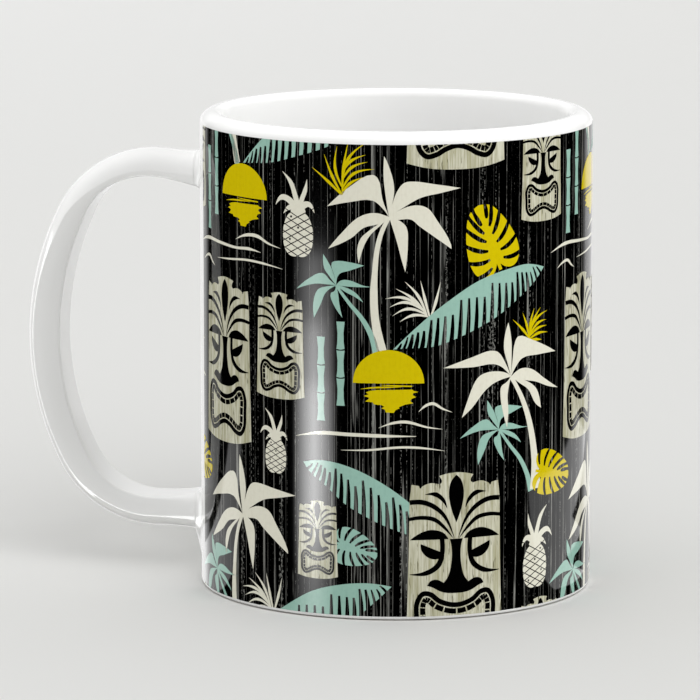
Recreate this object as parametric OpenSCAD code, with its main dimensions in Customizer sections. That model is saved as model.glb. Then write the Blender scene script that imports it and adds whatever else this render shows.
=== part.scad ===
// Straight-sided ceramic mug with a luted loop handle and a printed band.
// Millimetres. The cup's axis is Z, the foot stands on Z = 0, and the handle points along -X.

/* [Cup] */
// Outer diameter over the printed band
cup_d = 80; // [70:0.5:95]
// Height of the lip above the table
cup_h = 97.3; // [80:0.1:120]
// Thickness of the wall under the print
wall = 4.7; // [3.6:0.1:6]
// Thickness of the floor above the foot recess
floor_t = 5; // [4:0.5:8]
// Radius of the corner between wall and floor, inside
floor_fillet = 10; // [4:0.5:16]
// Radius of the lip's outer edge
lip_out_r = 2.3; // [1:0.1:2.4]
// Radius of the lip's inner edge
lip_in_r = 1.9; // [0.8:0.1:2]

/* [Foot] */
// Radius of the base's outer edge
base_edge_r = 0.7; // [0.3:0.1:2]
// Width of the flat ring that the cup stands on
foot_w = 4.2; // [3:0.1:8]
// Depth of the recess inside the foot ring
foot_recess = 2; // [1:0.1:3]

/* [Printed band] */
// Thickness of the coating that holds the print
print_t = 0.1; // [0.05:0.01:0.3]
// Height of the band's top edge above the table
print_top = 95; // [60:0.5:95]
// Angle left bare on each side of the handle
print_gap = 23.75; // [10:0.25:40]

/* [Handle] */
// Distance from the cup's axis to the handle's outermost point
handle_reach = 77.2; // [70:0.1:85]
// Height of the upper arm's top above the table
handle_top = 88.3; // [78:0.1:92]
// Height of the lower arm's underside above the table
handle_bottom = 9.3; // [6:0.1:16]
// Radius of the two outer corners
handle_corner_r = 23; // [18:0.5:28]
// Width across the finger opening
handle_w = 11.6; // [9:0.1:16]
// Radius of the crowned outer face, across its width
handle_crown_r = 7.4; // [6.5:0.1:14]
// Thickness of the upper arm
upper_arm_t = 5.4; // [4:0.1:9]
// Thickness of the grip, at the outermost point
grip_t = 7.2; // [5:0.1:10]
// Thickness of the lower arm
lower_arm_t = 6.6; // [4:0.1:9]

/* [Handle joints] */
// Thickness of the slip between the wall and each end of the handle
joint_t = 1.2; // [0.5:0.1:2]
// How far each joint stands out past the arm, all round
joint_margin = 1.4; // [0.5:0.1:3]
// How far the lower joint runs on down the wall, below the arm
joint_tail = 5; // [0:0.5:6]
// Corner radius of a joint's outline
joint_r = 3.2; // [1:0.1:4]

/* [Hidden] */
$fn = 96;

glaze_colour = [0.93, 0.93, 0.91];
slip_colour = [0.86, 0.86, 0.84];
print_colour = [0.05, 0.05, 0.05];

body_r = cup_d / 2 - print_t;
inner_r = body_r - wall;
floor_z = foot_recess + floor_t;
foot_inner_r = body_r - base_edge_r - foot_w;
seat_r = body_r + joint_t; // where the handle's ends meet the joints
past = 1;                  // how far a cutter runs past what it cuts

// The handle's outer line: two corner arcs and a larger grip arc, all tangent.
corner_x = 50.2;
handle_mid_z = (handle_top + handle_bottom) / 2;
corner_rise = handle_top - handle_corner_r - handle_mid_z;
function side_radius(reach, x, r, rise) =
    ((reach - x) * (reach - x) + rise * rise - r * r) / (2 * (reach - x - r));
grip_r = side_radius(handle_reach, corner_x, handle_corner_r, corner_rise);
grip_x = handle_reach - grip_r;
grip_half_angle = atan(corner_rise / (corner_x - grip_x));
section_depth = grip_t + 2;
lap_angle = 1;     // how far the grip arc runs on into each corner arc
lap_inset = 0.02;  // how far inside the corners' skin it lies there

// The finger opening's line, which sets the thickness of both arms and the grip.
loop_top = handle_top - upper_arm_t;
loop_bottom = handle_bottom + lower_arm_t;
loop_reach = handle_reach - grip_t;
loop_corner_r = handle_corner_r - 6;
loop_mid_z = (loop_top + loop_bottom) / 2;
loop_rise = loop_top - loop_corner_r - loop_mid_z;
loop_side_r = side_radius(loop_reach, corner_x, loop_corner_r, loop_rise);
loop_side_x = loop_reach - loop_side_r;

// Radius, height: everything inside the cup's outer surface.
module outer_section() {
    translate([0, base_edge_r])
        square([body_r, cup_h - lip_out_r - base_edge_r]);
    square([body_r - base_edge_r, cup_h - lip_out_r]);
    translate([body_r - base_edge_r, base_edge_r])
        circle(base_edge_r);
    square([body_r - lip_out_r, cup_h]);
    translate([body_r - lip_out_r, cup_h - lip_out_r])
        circle(lip_out_r);
}

// Radius, height: the drinking space, opening out at the lip's inner edge.
module cavity_section() {
    translate([0, floor_z + floor_fillet])
        square([inner_r, cup_h - floor_z - floor_fillet + past]);
    translate([0, floor_z])
        square([inner_r - floor_fillet, floor_fillet + past]);
    translate([inner_r - floor_fillet, floor_z + floor_fillet])
        circle(floor_fillet);
    difference() {
        translate([0, cup_h - lip_in_r])
            square([inner_r + lip_in_r, lip_in_r + past]);
        translate([inner_r + lip_in_r, cup_h - lip_in_r])
            circle(lip_in_r);
    }
}

// Radius, height: the recess inside the foot ring, with a rounded corner.
module recess_section() {
    translate([0, -past])
        square([foot_inner_r, past]);
    square([foot_inner_r - foot_recess, foot_recess]);
    translate([foot_inner_r - foot_recess, 0])
        circle(foot_recess);
}

module cup_body() {
    color(glaze_colour)
        rotate_extrude()
            difference() {
                outer_section();
                cavity_section();
                recess_section();
            }
}

// The handle's section: the crowned face's middle at the origin, depth towards -X, width along Y.
module handle_section() {
    intersection() {
        translate([-handle_crown_r, 0])
            circle(handle_crown_r);
        translate([-section_depth, -handle_w / 2])
            square([section_depth, handle_w]);
    }
    translate([-section_depth, -handle_w / 2])
        square([section_depth - handle_crown_r, handle_w]);
}

// The section swept round an arc in the XZ plane, between two angles above the X axis.
module handle_arc(x, z, r, from, to) {
    translate([x, 0, z])
        rotate([90, 0, 0])
            rotate([0, 0, from])
                rotate_extrude(angle = to - from)
                    translate([r, 0])
                        handle_section();
}

// The grip, whose ends lap inside the two corners so that the three arcs are one solid.
module handle_grip() {
    lapped = grip_half_angle + lap_angle;
    handle_arc(grip_x, handle_mid_z, grip_r - lap_inset, -lapped, lapped);
}

module handle_arms() {
    arm_start = inner_r;
    arm_l = corner_x - arm_start;
    translate([corner_x, 0, handle_top])
        rotate([0, -90, 0])
            linear_extrude(arm_l)
                handle_section();
    translate([arm_start, 0, handle_bottom])
        rotate([0, 90, 0])
            linear_extrude(arm_l)
                handle_section();
}

// X, Z: the finger opening, from the cup's axis out to the grip.
module finger_opening() {
    half_angle = atan(loop_rise / (corner_x - loop_side_x));
    far = loop_side_r * 2;
    translate([0, loop_bottom])
        square([corner_x, loop_top - loop_bottom]);
    for (side = [-1, 1])
        translate([corner_x, loop_mid_z + side * loop_rise])
            circle(loop_corner_r);
    intersection() {
        translate([loop_side_x, loop_mid_z])
            circle(loop_side_r, $fn = 180);
        translate([loop_side_x, loop_mid_z])
            polygon([
                [0, 0],
                [far * cos(half_angle), -far * sin(half_angle)],
                [far * cos(half_angle), far * sin(half_angle)],
            ]);
    }
}

module handle() {
    color(glaze_colour)
        rotate([0, 0, 180])
            difference() {
                union() {
                    handle_arc(corner_x, handle_top - handle_corner_r, handle_corner_r, grip_half_angle, 90);
                    handle_grip();
                    handle_arc(corner_x, handle_bottom + handle_corner_r, handle_corner_r, -90, -grip_half_angle);
                    handle_arms();
                }
                rotate([90, 0, 0])
                    linear_extrude(handle_w + 2 * past, center = true)
                        finger_opening();
                translate([0, 0, -past])
                    cylinder(r = seat_r, h = cup_h);
            }
}

// A slip joint: a rounded patch of the shell between the wall and the handle's end.
module slip_joint(low_z, high_z) {
    h = high_z - low_z;
    w = handle_w + 2 * joint_margin;
    difference() {
        intersection() {
            translate([-seat_r - past, 0, low_z])
                rotate([90, 0, 90])
                    linear_extrude(seat_r)
                        rounded_rectangle(w, h, joint_r);
            cylinder(r = seat_r, h = cup_h);
        }
        translate([0, 0, -past])
            cylinder(r = body_r, h = cup_h + 2 * past);
    }
}

// Centred on X, standing on Y = 0.
module rounded_rectangle(w, h, r) {
    translate([-w / 2, r])
        square([w, h - 2 * r]);
    translate([-w / 2 + r, 0])
        square([w - 2 * r, h]);
    for (x = [-w / 2 + r, w / 2 - r], y = [r, h - r])
        translate([x, y])
            circle(r);
}

module upper_handle_joint() {
    color(slip_colour)
        slip_joint(loop_top - joint_margin, handle_top + joint_margin);
}

module lower_handle_joint() {
    color(slip_colour)
        slip_joint(handle_bottom - joint_margin - joint_tail, loop_bottom + joint_margin);
}

module print_wrap() {
    color(print_colour)
        rotate([0, 0, print_gap - 180])
            rotate_extrude(angle = 360 - 2 * print_gap, $fn = 180)
                translate([body_r, base_edge_r])
                    square([print_t, print_top - base_edge_r]);
}

cup_body();
handle();
upper_handle_joint();
lower_handle_joint();
print_wrap();
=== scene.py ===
"""The looks of a straight-sided ceramic mug: a turned white cup with a pulled handle and a printed band.

The band is built as print is laid down. A black ground goes on first, then thin films of ink, each drawing
cut out on the flat, split at the band's upright strips and rolled round the cup. Sizes on the flat are in
millimetres: U runs round the cup from the point opposite the handle, V is the height above the table.
"""
import math

import bmesh
import bpy
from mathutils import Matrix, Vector
from mathutils.geometry import delaunay_2d_cdt


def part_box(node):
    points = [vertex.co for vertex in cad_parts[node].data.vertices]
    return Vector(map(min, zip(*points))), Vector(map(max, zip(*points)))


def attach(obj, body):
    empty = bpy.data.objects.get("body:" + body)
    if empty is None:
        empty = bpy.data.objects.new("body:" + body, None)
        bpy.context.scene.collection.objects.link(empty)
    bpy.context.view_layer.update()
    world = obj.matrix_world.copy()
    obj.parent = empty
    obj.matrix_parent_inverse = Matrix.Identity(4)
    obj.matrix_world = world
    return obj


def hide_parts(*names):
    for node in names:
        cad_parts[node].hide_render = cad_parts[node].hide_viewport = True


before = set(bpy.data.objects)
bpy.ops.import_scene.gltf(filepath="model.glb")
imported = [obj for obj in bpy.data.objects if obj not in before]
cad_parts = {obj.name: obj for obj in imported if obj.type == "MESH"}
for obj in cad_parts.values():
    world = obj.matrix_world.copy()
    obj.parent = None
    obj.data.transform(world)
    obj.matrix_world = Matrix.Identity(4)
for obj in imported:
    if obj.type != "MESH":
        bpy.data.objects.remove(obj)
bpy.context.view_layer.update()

MM = 0.001
BODY = "root"

# ---- sizes, from the frame and in millimetres

cup_low, cup_high = [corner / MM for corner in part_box("cup_body")]
print_low, print_high = [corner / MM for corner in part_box("print_wrap")]
handle_low, handle_high = [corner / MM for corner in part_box("handle")]

CUP_R = cup_high.x                        # the cup's outside, under the print
CUP_H = cup_high.z
PRINT_R = print_high.x                    # the print's outermost skin
PRINT_BOTTOM, PRINT_TOP = print_low.z, print_high.z
PRINT_GAP = 23.75                         # degrees left bare on each side of the handle
WALL = 4.7
INNER_R = CUP_R - WALL
FLOOR_Z = 7.0
FLOOR_FILLET = 10.0
LIP_OUT = (3.0, 2.3)                      # the lip's outer rounding: how far in, how far down
LIP_IN = (1.8, 1.9)
BASE_EDGE = 0.7
FOOT_W = 4.2
RECESS = 2.0
POLE_R = 0.6                              # the small ring that closes the cup at its axis

HANDLE_REACH = -handle_low.x
HANDLE_TOP, HANDLE_BOTTOM = handle_high.z, handle_low.z
HANDLE_MID = (HANDLE_TOP + HANDLE_BOTTOM) / 2
HANDLE_W = handle_high.y - handle_low.y
HANDLE_CORNER_R = 23.0
CORNER_X = 50.2
TOP_ARM, GRIP, LOW_ARM = 5.4, 7.2, 6.6    # thickness of the handle's three stretches
TOP_FALL, GRIP_FALL, LOW_FALL = 4.2, 1.9, 2.8   # how far the crowned face drops at its edges
RIDGE_R = 0.5                             # rounding between the crowned face and the sides
INNER_EDGE_R = 0.7                        # rounding between the sides and the inner face
SIDE_LEAN = 24                            # how far the rounded sides turn in by then, in degrees
ROOT_GROWTH = 0.5                         # how much thicker the arms are where they meet the cup
ROOT_RIDGE_R, ROOT_INNER_R = 1.5, 2.2     # the same roundings there
SEAT_R = CUP_R + 1.2                      # where the handle's ends meet the joints
ROOT_DROP = 0.8                           # how much lower the upper arm is at the cup
ROOT_FLARE, FLARE_RUN = 0.55, 5           # how far an arm swells at the cup, and along what length
ROOT_TUCK = 0.35                          # how far its end shrinks inside the joint
BEND_RUN = 7                              # how far out from the cup the sections still follow its round
GRIP_SPAN = 62                            # degrees from level in which the arms' shape becomes the grip's
ROOT_STEPS = (-0.1, 0.25, 0.7, 1.5, 3, 6)  # sections near a root, by how far they stand out from the seat
CORNER_STEPS, GRIP_STEPS = 16, 26
JOINT_LIFT = 0.5                          # how far a joint runs up the arm, past the seat
JOINT_SKIN = 0.45                         # how far its hollow side stands out from the arm at its top
JOINT_SUNK = 0.5                          # how far it runs into the cup's wall
HOLLOW_REACH, SLOPE_REACH = 2.5, 5.5      # reaches up to which its side is hollow, and from which a slope


# ---- finished pieces

# What each light falls on
MUG = bpy.data.collections.new("mug_pieces")
PRINT = bpy.data.collections.new("print_pieces")
LOOP = bpy.data.collections.new("handle_pieces")
FACE = bpy.data.collections.new("cup_and_print")
STAGE = bpy.data.collections.new("stage_pieces")


def deselect():
    if bpy.context.object and bpy.context.object.mode != "OBJECT":
        bpy.ops.object.mode_set(mode="OBJECT")
    bpy.ops.object.select_all(action="DESELECT")


def finish_piece(obj, name, material, slot, replaced=()):
    obj.name = obj.data.name = name
    obj.data.materials.clear()
    obj.data.materials.append(material)
    printed = slot.startswith("print")
    MUG.objects.link(obj)
    (FACE if printed or name == "cup" else LOOP).objects.link(obj)
    if printed:
        PRINT.objects.link(obj)
    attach(obj, BODY)
    if replaced:
        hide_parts(*replaced)
    return obj


def smooth_under(obj, degrees):
    deselect()
    obj.select_set(True)
    bpy.context.view_layer.objects.active = obj
    bpy.ops.object.shade_smooth_by_angle(angle=math.radians(degrees))


def weigh_normals(obj):
    """Smooth all over, with the large faces kept looking flat beside their small rounded edges."""
    smooth_under(obj, 80)
    modifier = obj.modifiers.new("weigh", "WEIGHTED_NORMAL")
    modifier.weight = 70
    bpy.ops.object.modifier_apply(modifier=modifier.name)


def capped():
    """Closes the open ends of the mesh in hand, turns its faces outwards and gives its object."""
    bpy.ops.mesh.select_all(action="SELECT")
    bpy.ops.mesh.fill_holes(sides=0)
    bpy.ops.mesh.select_all(action="SELECT")
    bpy.ops.mesh.normals_make_consistent(inside=False)
    bpy.ops.object.mode_set(mode="OBJECT")
    return bpy.context.object


def arc(cx, cz, rx, rz, start, end, steps):
    """Points round an ellipse, from one angle to another, in degrees."""
    angles = [math.radians(start + (end - start) * i / steps) for i in range(steps + 1)]
    return [(cx + rx * math.cos(a), cz + rz * math.sin(a)) for a in angles]


# ---- the turned cup

def turned(profile, segments):
    """A solid of revolution: a ring drawn up and scaled from each (radius, height) to the next."""
    deselect()
    r, z = profile[0]
    bpy.ops.mesh.primitive_circle_add(vertices=segments, radius=r * MM, location=(0, 0, z * MM))
    bpy.ops.object.transform_apply(location=True)
    bpy.ops.object.mode_set(mode="EDIT")
    bpy.ops.mesh.select_all(action="SELECT")
    for next_r, next_z in profile[1:]:
        bpy.ops.mesh.extrude_region_move(TRANSFORM_OT_translate={"value": (0, 0, (next_z - z) * MM)})
        bpy.ops.transform.resize(value=(next_r / r, next_r / r, 1), center_override=(0, 0, next_z * MM))
        r, z = next_r, next_z
    return capped()


def cup_profile():
    """From the middle of the recess below, out round the foot, up, over the lip and down to the middle."""
    foot_out = CUP_R - BASE_EDGE
    foot_in = foot_out - FOOT_W
    line = [(POLE_R, RECESS), (foot_in * 0.5, RECESS)]
    line += arc(foot_in - RECESS, 0.15, RECESS, RECESS - 0.15, 90, 0, 8)
    line += [(foot_in + 0.2, 0.0), (foot_out - 0.1, 0.0)]
    line += arc(foot_out, BASE_EDGE, BASE_EDGE, BASE_EDGE, -80, 0, 6)
    rise = CUP_H - LIP_OUT[1] - BASE_EDGE
    line += [(CUP_R, BASE_EDGE + rise * i / 24) for i in range(1, 24)]
    line += arc(CUP_R - LIP_OUT[0], CUP_H - LIP_OUT[1], *LIP_OUT, 0, 90, 10)
    line += arc(INNER_R + LIP_IN[0], CUP_H - LIP_IN[1], *LIP_IN, 90, 180, 10)
    top, low = CUP_H - LIP_IN[1], FLOOR_Z + FLOOR_FILLET
    line += [(INNER_R, top + (low - top) * i / 20) for i in range(1, 20)]
    line += arc(INNER_R - FLOOR_FILLET, low, FLOOR_FILLET, FLOOR_FILLET, 0, -90, 12)
    line += [(16.0, FLOOR_Z), (8.0, FLOOR_Z), (POLE_R, FLOOR_Z)]
    return line


def make_cup(material):
    cup = turned(cup_profile(), 256)
    smooth_under(cup, 50)
    return finish_piece(cup, "cup", material, "white_glaze", ["cup_body"])


# ---- the handle and its two joints

def lofted(rings):
    """A solid drawn out ring by ring from a circle, capped at both ends. Points are in millimetres."""
    deselect()
    bpy.ops.mesh.primitive_circle_add(vertices=len(rings[0]), radius=MM)
    piece = bpy.context.object
    bpy.ops.object.mode_set(mode="EDIT")
    bpy.ops.mesh.select_all(action="SELECT")
    picked = list(bmesh.from_edit_mesh(piece.data).verts)
    for i, ring in enumerate(rings):
        if i:
            places = [v.co.copy() for v in picked]
            bpy.ops.mesh.extrude_region_move()
            fresh = [v for v in bmesh.from_edit_mesh(piece.data).verts if v.select]
            picked = [min(fresh, key=lambda v: (v.co - place).length_squared) for place in places]
        for vertex, point in zip(picked, ring):
            vertex.co = Vector(point) * MM
    bmesh.update_edit_mesh(piece.data)
    return capped()


def handle_section(thick, fall, root=0.0):
    """The handle's section as (width, depth), once round: crown, ridge, side, inner face and back.

    Towards a root, where root is 1, it is thicker and rounder.
    """
    half = HANDLE_W / 2
    thick += ROOT_GROWTH * root
    ridge_r = RIDGE_R + (ROOT_RIDGE_R - RIDGE_R) * root
    crown_r = (half**2 + fall**2) / (2 * fall)
    meet = math.degrees(math.asin((half - ridge_r) / (crown_r - ridge_r)))
    crown = [(x, crown_r - z) for x, z in arc(0, 0, crown_r, crown_r, 90, 90 - meet, 9)]
    drop = crown[-1][1] + ridge_r * math.cos(math.radians(meet))
    ridge = [(x, drop - z) for x, z in arc(half - ridge_r, 0, ridge_r, ridge_r, 90 - meet, 0, 5)][1:]
    soft = min(INNER_EDGE_R + (ROOT_INNER_R - INNER_EDGE_R) * root, (thick - drop) * 0.6)
    lean = math.radians(SIDE_LEAN)
    side_r = (thick - drop - soft * (1 - math.sin(lean))) / math.sin(lean)
    side = [(half - side_r + x, drop + z) for x, z in arc(0, 0, side_r, side_r, 0, SIDE_LEAN, 4)][1:]
    in_x, in_d = side[-1][0] - soft * math.cos(lean), side[-1][1] - soft * math.sin(lean)
    inner = [(in_x + x, in_d + z) for x, z in arc(0, 0, soft, soft, SIDE_LEAN, 90, 5)][1:]
    flat = [(half * 0.4, thick + 0.03), (0.0, thick + 0.04)]
    right = crown + ridge + side + inner + flat
    left = [(-x, d) for x, d in right[1:-1]][::-1]
    return right + left


def swollen(section, amount):
    """The section with every point moved out along its own normal."""
    out = []
    n = len(section)
    for i, (x, d) in enumerate(section):
        a, b = section[i - 1], section[(i + 1) % n]
        dx, dd = b[0] - a[0], b[1] - a[1]
        length = math.hypot(dx, dd)
        out.append((x + dd / length * amount, d - dx / length * amount))
    return out


def side_arc(reach, rise, r):
    """Radius and centre of the arc that joins two corner arcs at their outermost stretch."""
    radius = ((reach - CORNER_X) ** 2 + rise**2 - r**2) / (2 * (reach - CORNER_X - r))
    return radius, reach - radius


def blended(a, b, t):
    t = min(max(t, 0), 1)
    return a + (b - a) * t * t * (3 - 2 * t)


def handle_stations():
    """Places along the crowned face, from the upper joint to the lower.

    Each is its distance from the axis, height, outward angle, thickness and fall.
    """
    rise = HANDLE_TOP - HANDLE_CORNER_R - HANDLE_MID
    grip_r, grip_x = side_arc(HANDLE_REACH, rise, HANDLE_CORNER_R)
    half = math.degrees(math.atan2(rise, CORNER_X - grip_x))
    line = []
    for step in ROOT_STEPS:
        drop = ROOT_DROP * blended(1, 0, step / (CORNER_X - SEAT_R))
        line.append((SEAT_R + step, HANDLE_TOP - drop, 90))
    for side, start, end in ((1, 90, half), (0, half, -half), (-1, -half, -90)):
        cx = CORNER_X if side else grip_x
        r = HANDLE_CORNER_R if side else grip_r
        steps = CORNER_STEPS if side else GRIP_STEPS
        for i in range(steps + (side == -1)):
            angle = start + (end - start) * i / steps
            a = math.radians(angle)
            line.append((cx + r * math.cos(a), HANDLE_MID + side * rise + r * math.sin(a), angle))
    line += [(SEAT_R + step, HANDLE_BOTTOM, -90) for step in reversed(ROOT_STEPS)]
    out = []
    for s, z, angle in line:
        arm, fall = (TOP_ARM, TOP_FALL) if angle > 0 else (LOW_ARM, LOW_FALL)
        t = 1 - abs(angle) / GRIP_SPAN
        out.append((s, z, angle, blended(arm, GRIP, t), blended(fall, GRIP_FALL, t)))
    return out


def standing(section, s, z, angle, bend):
    """A section stood on the handle's line. Where bend is 1 it follows the round of the cup."""
    a = math.radians(angle)
    points = []
    for y, depth in section:
        back = bend * (math.sqrt(max(s**2 - y**2, 0)) - s)
        points.append((-(s - depth * math.cos(a) + back), y, z - depth * math.sin(a)))
    return points


def make_handle(material):
    rings = []
    for s, z, angle, thick, fall in handle_stations():
        past = s - SEAT_R
        flare = root = bend = 0.0
        if abs(angle) == 90:
            flare = ROOT_FLARE * max(0, 1 - past / FLARE_RUN) ** 2 - (ROOT_TUCK if past < 0 else 0)
            root = blended(1, 0, past / (CORNER_X - SEAT_R))
            bend = blended(1, 0, past / BEND_RUN)
        section = swollen(handle_section(thick, fall, root), flare)
        rings.append(standing(section, s, z, angle, bend))
    handle = lofted(rings)
    weigh_normals(handle)
    return finish_piece(handle, "handle", material, "white_glaze", ["handle"])


def make_joint(which, z, angle, thick, fall, reach, material):
    """A slip joint: the arm's section spread on the wall in a hollow curve, or a slope where it runs far.

    reach gives how far it spreads in a direction, from 1 towards the arm's inner face to -1 away from it.
    """
    section = handle_section(thick, fall, 1)
    ways = swollen(section, 1.0)
    top = SEAT_R + JOINT_LIFT
    rings = []
    for t in [None] + [k / 8 for k in range(9)]:
        rise = t or 0
        turn = math.radians(90 * rise)
        ring = []
        for (x, d), (far_x, far_d) in zip(section, ways):
            nx, nd = far_x - x, far_d - d
            spread = reach(nd)
            slope = min(max((spread - HOLLOW_REACH) / (SLOPE_REACH - HOLLOW_REACH), 0), 1)
            out = (1 - math.sin(turn)) * (1 - slope) + (1 - rise) * slope
            up = (1 - math.cos(turn)) * (1 - slope) + rise * slope
            move = spread * out + JOINT_SKIN
            s = CUP_R - JOINT_SUNK if t is None else CUP_R + (top - CUP_R) * up + 0.02
            ring += standing([(x + nx * move, d + nd * move)], s, z, angle, 1)
        rings.append(ring)
    rings.append(standing(swollen(section, 0.3), top + 0.08, z, angle, 1))
    rings.append(standing(swollen(section, -0.3), top, z, angle, 1))
    joint = lofted(rings)
    smooth_under(joint, 60)
    return finish_piece(joint, f"{which}_joint", material, "joint_glaze", [f"{which}_handle_joint"])


def upper_reach(inward):
    """All round the arm, and a little farther under it."""
    return 1.2 + 0.6 * max(0, inward)


def lower_reach(inward):
    """All round the arm, farther above it, and farthest in the tail that runs down the wall."""
    return 1.2 + 1.2 * max(0, inward) ** 2 + 6.2 * max(0, -inward) ** 3


# ---- outlines, in millimetres on the flat

def corner(x, y):
    return (x, y, True)


def unit(x, y):
    length = math.hypot(x, y) or 1.0
    return x / length, y / length


def smooth(points, closed=True, steps=6):
    """A line through the points, round at each one but sharp at a corner or an open end."""
    n = len(points)
    ways = []
    for i, p in enumerate(points):
        a, b = points[i - 1], points[(i + 1) % n]
        sharp = len(p) > 2 or (not closed and i in (0, n - 1))
        ax, ay = unit(p[0] - a[0], p[1] - a[1])
        bx, by = unit(b[0] - p[0], b[1] - p[1])
        ways.append(None if sharp else unit(ax + bx, ay + by))
    line = []
    for i in range(n if closed else n - 1):
        (px, py), (qx, qy) = points[i][:2], points[(i + 1) % n][:2]
        dx, dy = qx - px, qy - py
        reach = math.hypot(dx, dy)
        out, into = ways[i], ways[(i + 1) % n]
        mx, my = (out[0] * reach, out[1] * reach) if out else (None, None)
        nx, ny = (into[0] * reach, into[1] * reach) if into else (None, None)
        if mx is None and nx is None:
            mx, my, nx, ny = dx, dy, dx, dy
        elif mx is None:
            mx, my = 1.5 * dx - 0.5 * nx, 1.5 * dy - 0.5 * ny
        elif nx is None:
            nx, ny = 1.5 * dx - 0.5 * mx, 1.5 * dy - 0.5 * my
        for k in range(steps):
            t = k / steps
            a, b = 2 * t**3 - 3 * t**2 + 1, t**3 - 2 * t**2 + t
            c, d = 3 * t**2 - 2 * t**3, t**3 - t**2
            line.append((a * px + b * mx + c * qx + d * nx, a * py + b * my + c * qy + d * ny))
    if not closed:
        line.append(points[-1][:2])
    return line


def stroke(points, widths, steps=5):
    """A brush stroke along the points, as wide at each as the widths say."""
    line = smooth(points, closed=False, steps=steps)
    left, right = [], []
    for i, (x, y) in enumerate(line):
        a, b = line[max(i - 1, 0)], line[min(i + 1, len(line) - 1)]
        dx, dy = unit(b[0] - a[0], b[1] - a[1])
        k, part = divmod(i, steps)
        wide = widths[k] if part == 0 else widths[k] + (widths[k + 1] - widths[k]) * part / steps
        half = max(wide, 0.02) / 2
        left.append((x - dy * half, y + dx * half))
        right.append((x + dy * half, y - dx * half))
    return left + right[::-1]


def mirrored(shape):
    return [tuple([-p[0], *p[1:]]) for p in reversed(shape)]


def disc(x, y, rx, ry, n):
    return arc(x, y, rx, ry, 0, 360, n)[:-1]


# ---- the motifs: each gives its inked outlines and its gaps

HUB = corner(0, 0)
BONE_FRONDS = [
    [(-1.3, 3.5), (-2.3, 7.7), (-3.3, 8.3), (-7.5, 6.1), corner(-12.5, 1.8), (-7.9, 2.8), (-3.2, 3.2),
     (-1.2, 1.6)],
    [(-0.6, 3.5), (-1.1, 8), corner(-1.0, 12.0), (-0.2, 10.4), (1.0, 5.7), (0.5, 2)],
    [(0.7, 2.8), (1.7, 5.3), (2.9, 6.7), (4.5, 7.0), (9, 6.4), corner(14.3, 5.5), (10, 4.6), (6.3, 3.8),
     (3.0, 2.0)],
    [(3, 1.8), (5.5, 2.3), (7.6, 1.7), (9.5, -0.8), (12.3, -5.6), corner(12.4, -6.5), (8.8, -3.9),
     (5.9, -1.8), (4.3, -0.5), (1.3, -0.5)],
    [(2.2, -0.8), (3.4, -2), (3.7, -5.1), corner(3.2, -10.9), (2.6, -9.0), (1.5, -4.8), (0.7, -2.2)],
    [(-1.2, -1.2), (-4.2, -4.3), corner(-6.0, -9.3), (-6.3, -6.4), (-5.6, -4.3), (-4, -2.8), (-1.5, -1)],
    [(-2.1, 0.7), (-3.8, 0.7), (-6.3, -0.3), (-9.6, -3.5), corner(-12.3, -6.6), (-7.5, -4.3), (-5, -2.2),
     (-1.5, -1.2)],
]
BONE_TRUNK = (
    [(0, 0), (-1.6, -3.4), (-2.4, -6.8), (-2.8, -11), (-3.0, -14.8), (-2.7, -20.6), (-1.4, -26.6)],
    [0.8, 0.9, 1.0, 1.1, 1.5, 1.6, 1.9],
)
TALL_FRONDS = [
    [(-1.5, 3.1), (-3.1, 5.2), (-4.8, 5.6), (-8.5, 4.7), corner(-14.9, 2.7), (-8.5, 2.6), (-4.4, 2.9),
     (-2.5, 2.3)],
    [(-0.9, 3), (-1.7, 5.6), (-1.5, 8.5), corner(-0.7, 10.9), (-0.2, 9.0), (0.1, 6.9), (0.1, 2.7)],
    [(0.4, 3.5), (1, 6.9), (1.8, 7.9), (5.3, 6.9), (9.5, 5.2), corner(12.6, 3.7), (7, 3.7), (2.8, 3.4),
     (1.3, 2)],
    [(1.5, 1.0), (2.8, 1.4), (5.3, 1.0), (9, -1.3), corner(13.5, -3.8), (10.3, -3.1), (6.5, -1.7),
     (2.8, -0.9)],
    [(4, -1.3), (6.5, -2.9), (7.4, -4.4), corner(8.1, -7.2), (6.5, -6.1), (4.5, -3.1), (2, -1.4)],
    [(-1, -1), (-2.3, -1.8), (-2.5, -3.6), (-1.9, -6.9), corner(-0.9, -10.2), (-0.6, -6.9), (-0.8, -3.6)],
    [(-1, 0.8), (-4.4, 1.4), (-6.9, 0.9), (-8.1, -0.2), (-9.8, -4), corner(-11, -7.4), (-8.9, -5.6),
     (-6, -2.3), (-3.9, -0.9)],
]
TALL_TRUNK = (
    [(0, 0), (1.2, -1.8), (3.1, -5.2), (5.0, -10.2), (6.4, -17.7), (6.6, -23.4)],
    [0.9, 0.9, 1.1, 1.4, 1.8, 3.0],
)
TEAL_FRONDS = [
    [(-1.6, 2.0), (-2.5, 3.3), corner(-2.7, 6.1), (-1.8, 4.8), (-0.9, 3.2), (-0.2, 1)],
    [(-0.4, 2), (-0.9, 4.4), (-0.2, 4.8), (2.7, 4.7), corner(5.7, 4.1), (2.7, 3), (0.6, 2.2)],
    [(1, 1), (2.7, 1.1), (5.6, 0.1), corner(7.6, -0.1), (4.8, -0.2), (1.4, -0.1)],
    [(1.8, -0.3), (3.9, -1.3), corner(5.5, -3.2), (3.5, -2.0), (1.8, -1.2)],
    [(-0.4, -1.2), (-1.1, -1.6), (-0.5, -3.9), corner(1.3, -6.4), (0.7, -3.9), (0.4, -1.6)],
    [(-1.9, -0.3), (-3.8, -1), (-4.8, -3.5), corner(-4.7, -6.75), (-3.15, -3.7), (-2.2, -1.6)],
    [(-1.3, 1.0), (-2.8, 2.3), (-5.9, 1.0), corner(-8.6, -1.2), (-4.4, 0.1), (-1.9, 0.1)],
]
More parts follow.
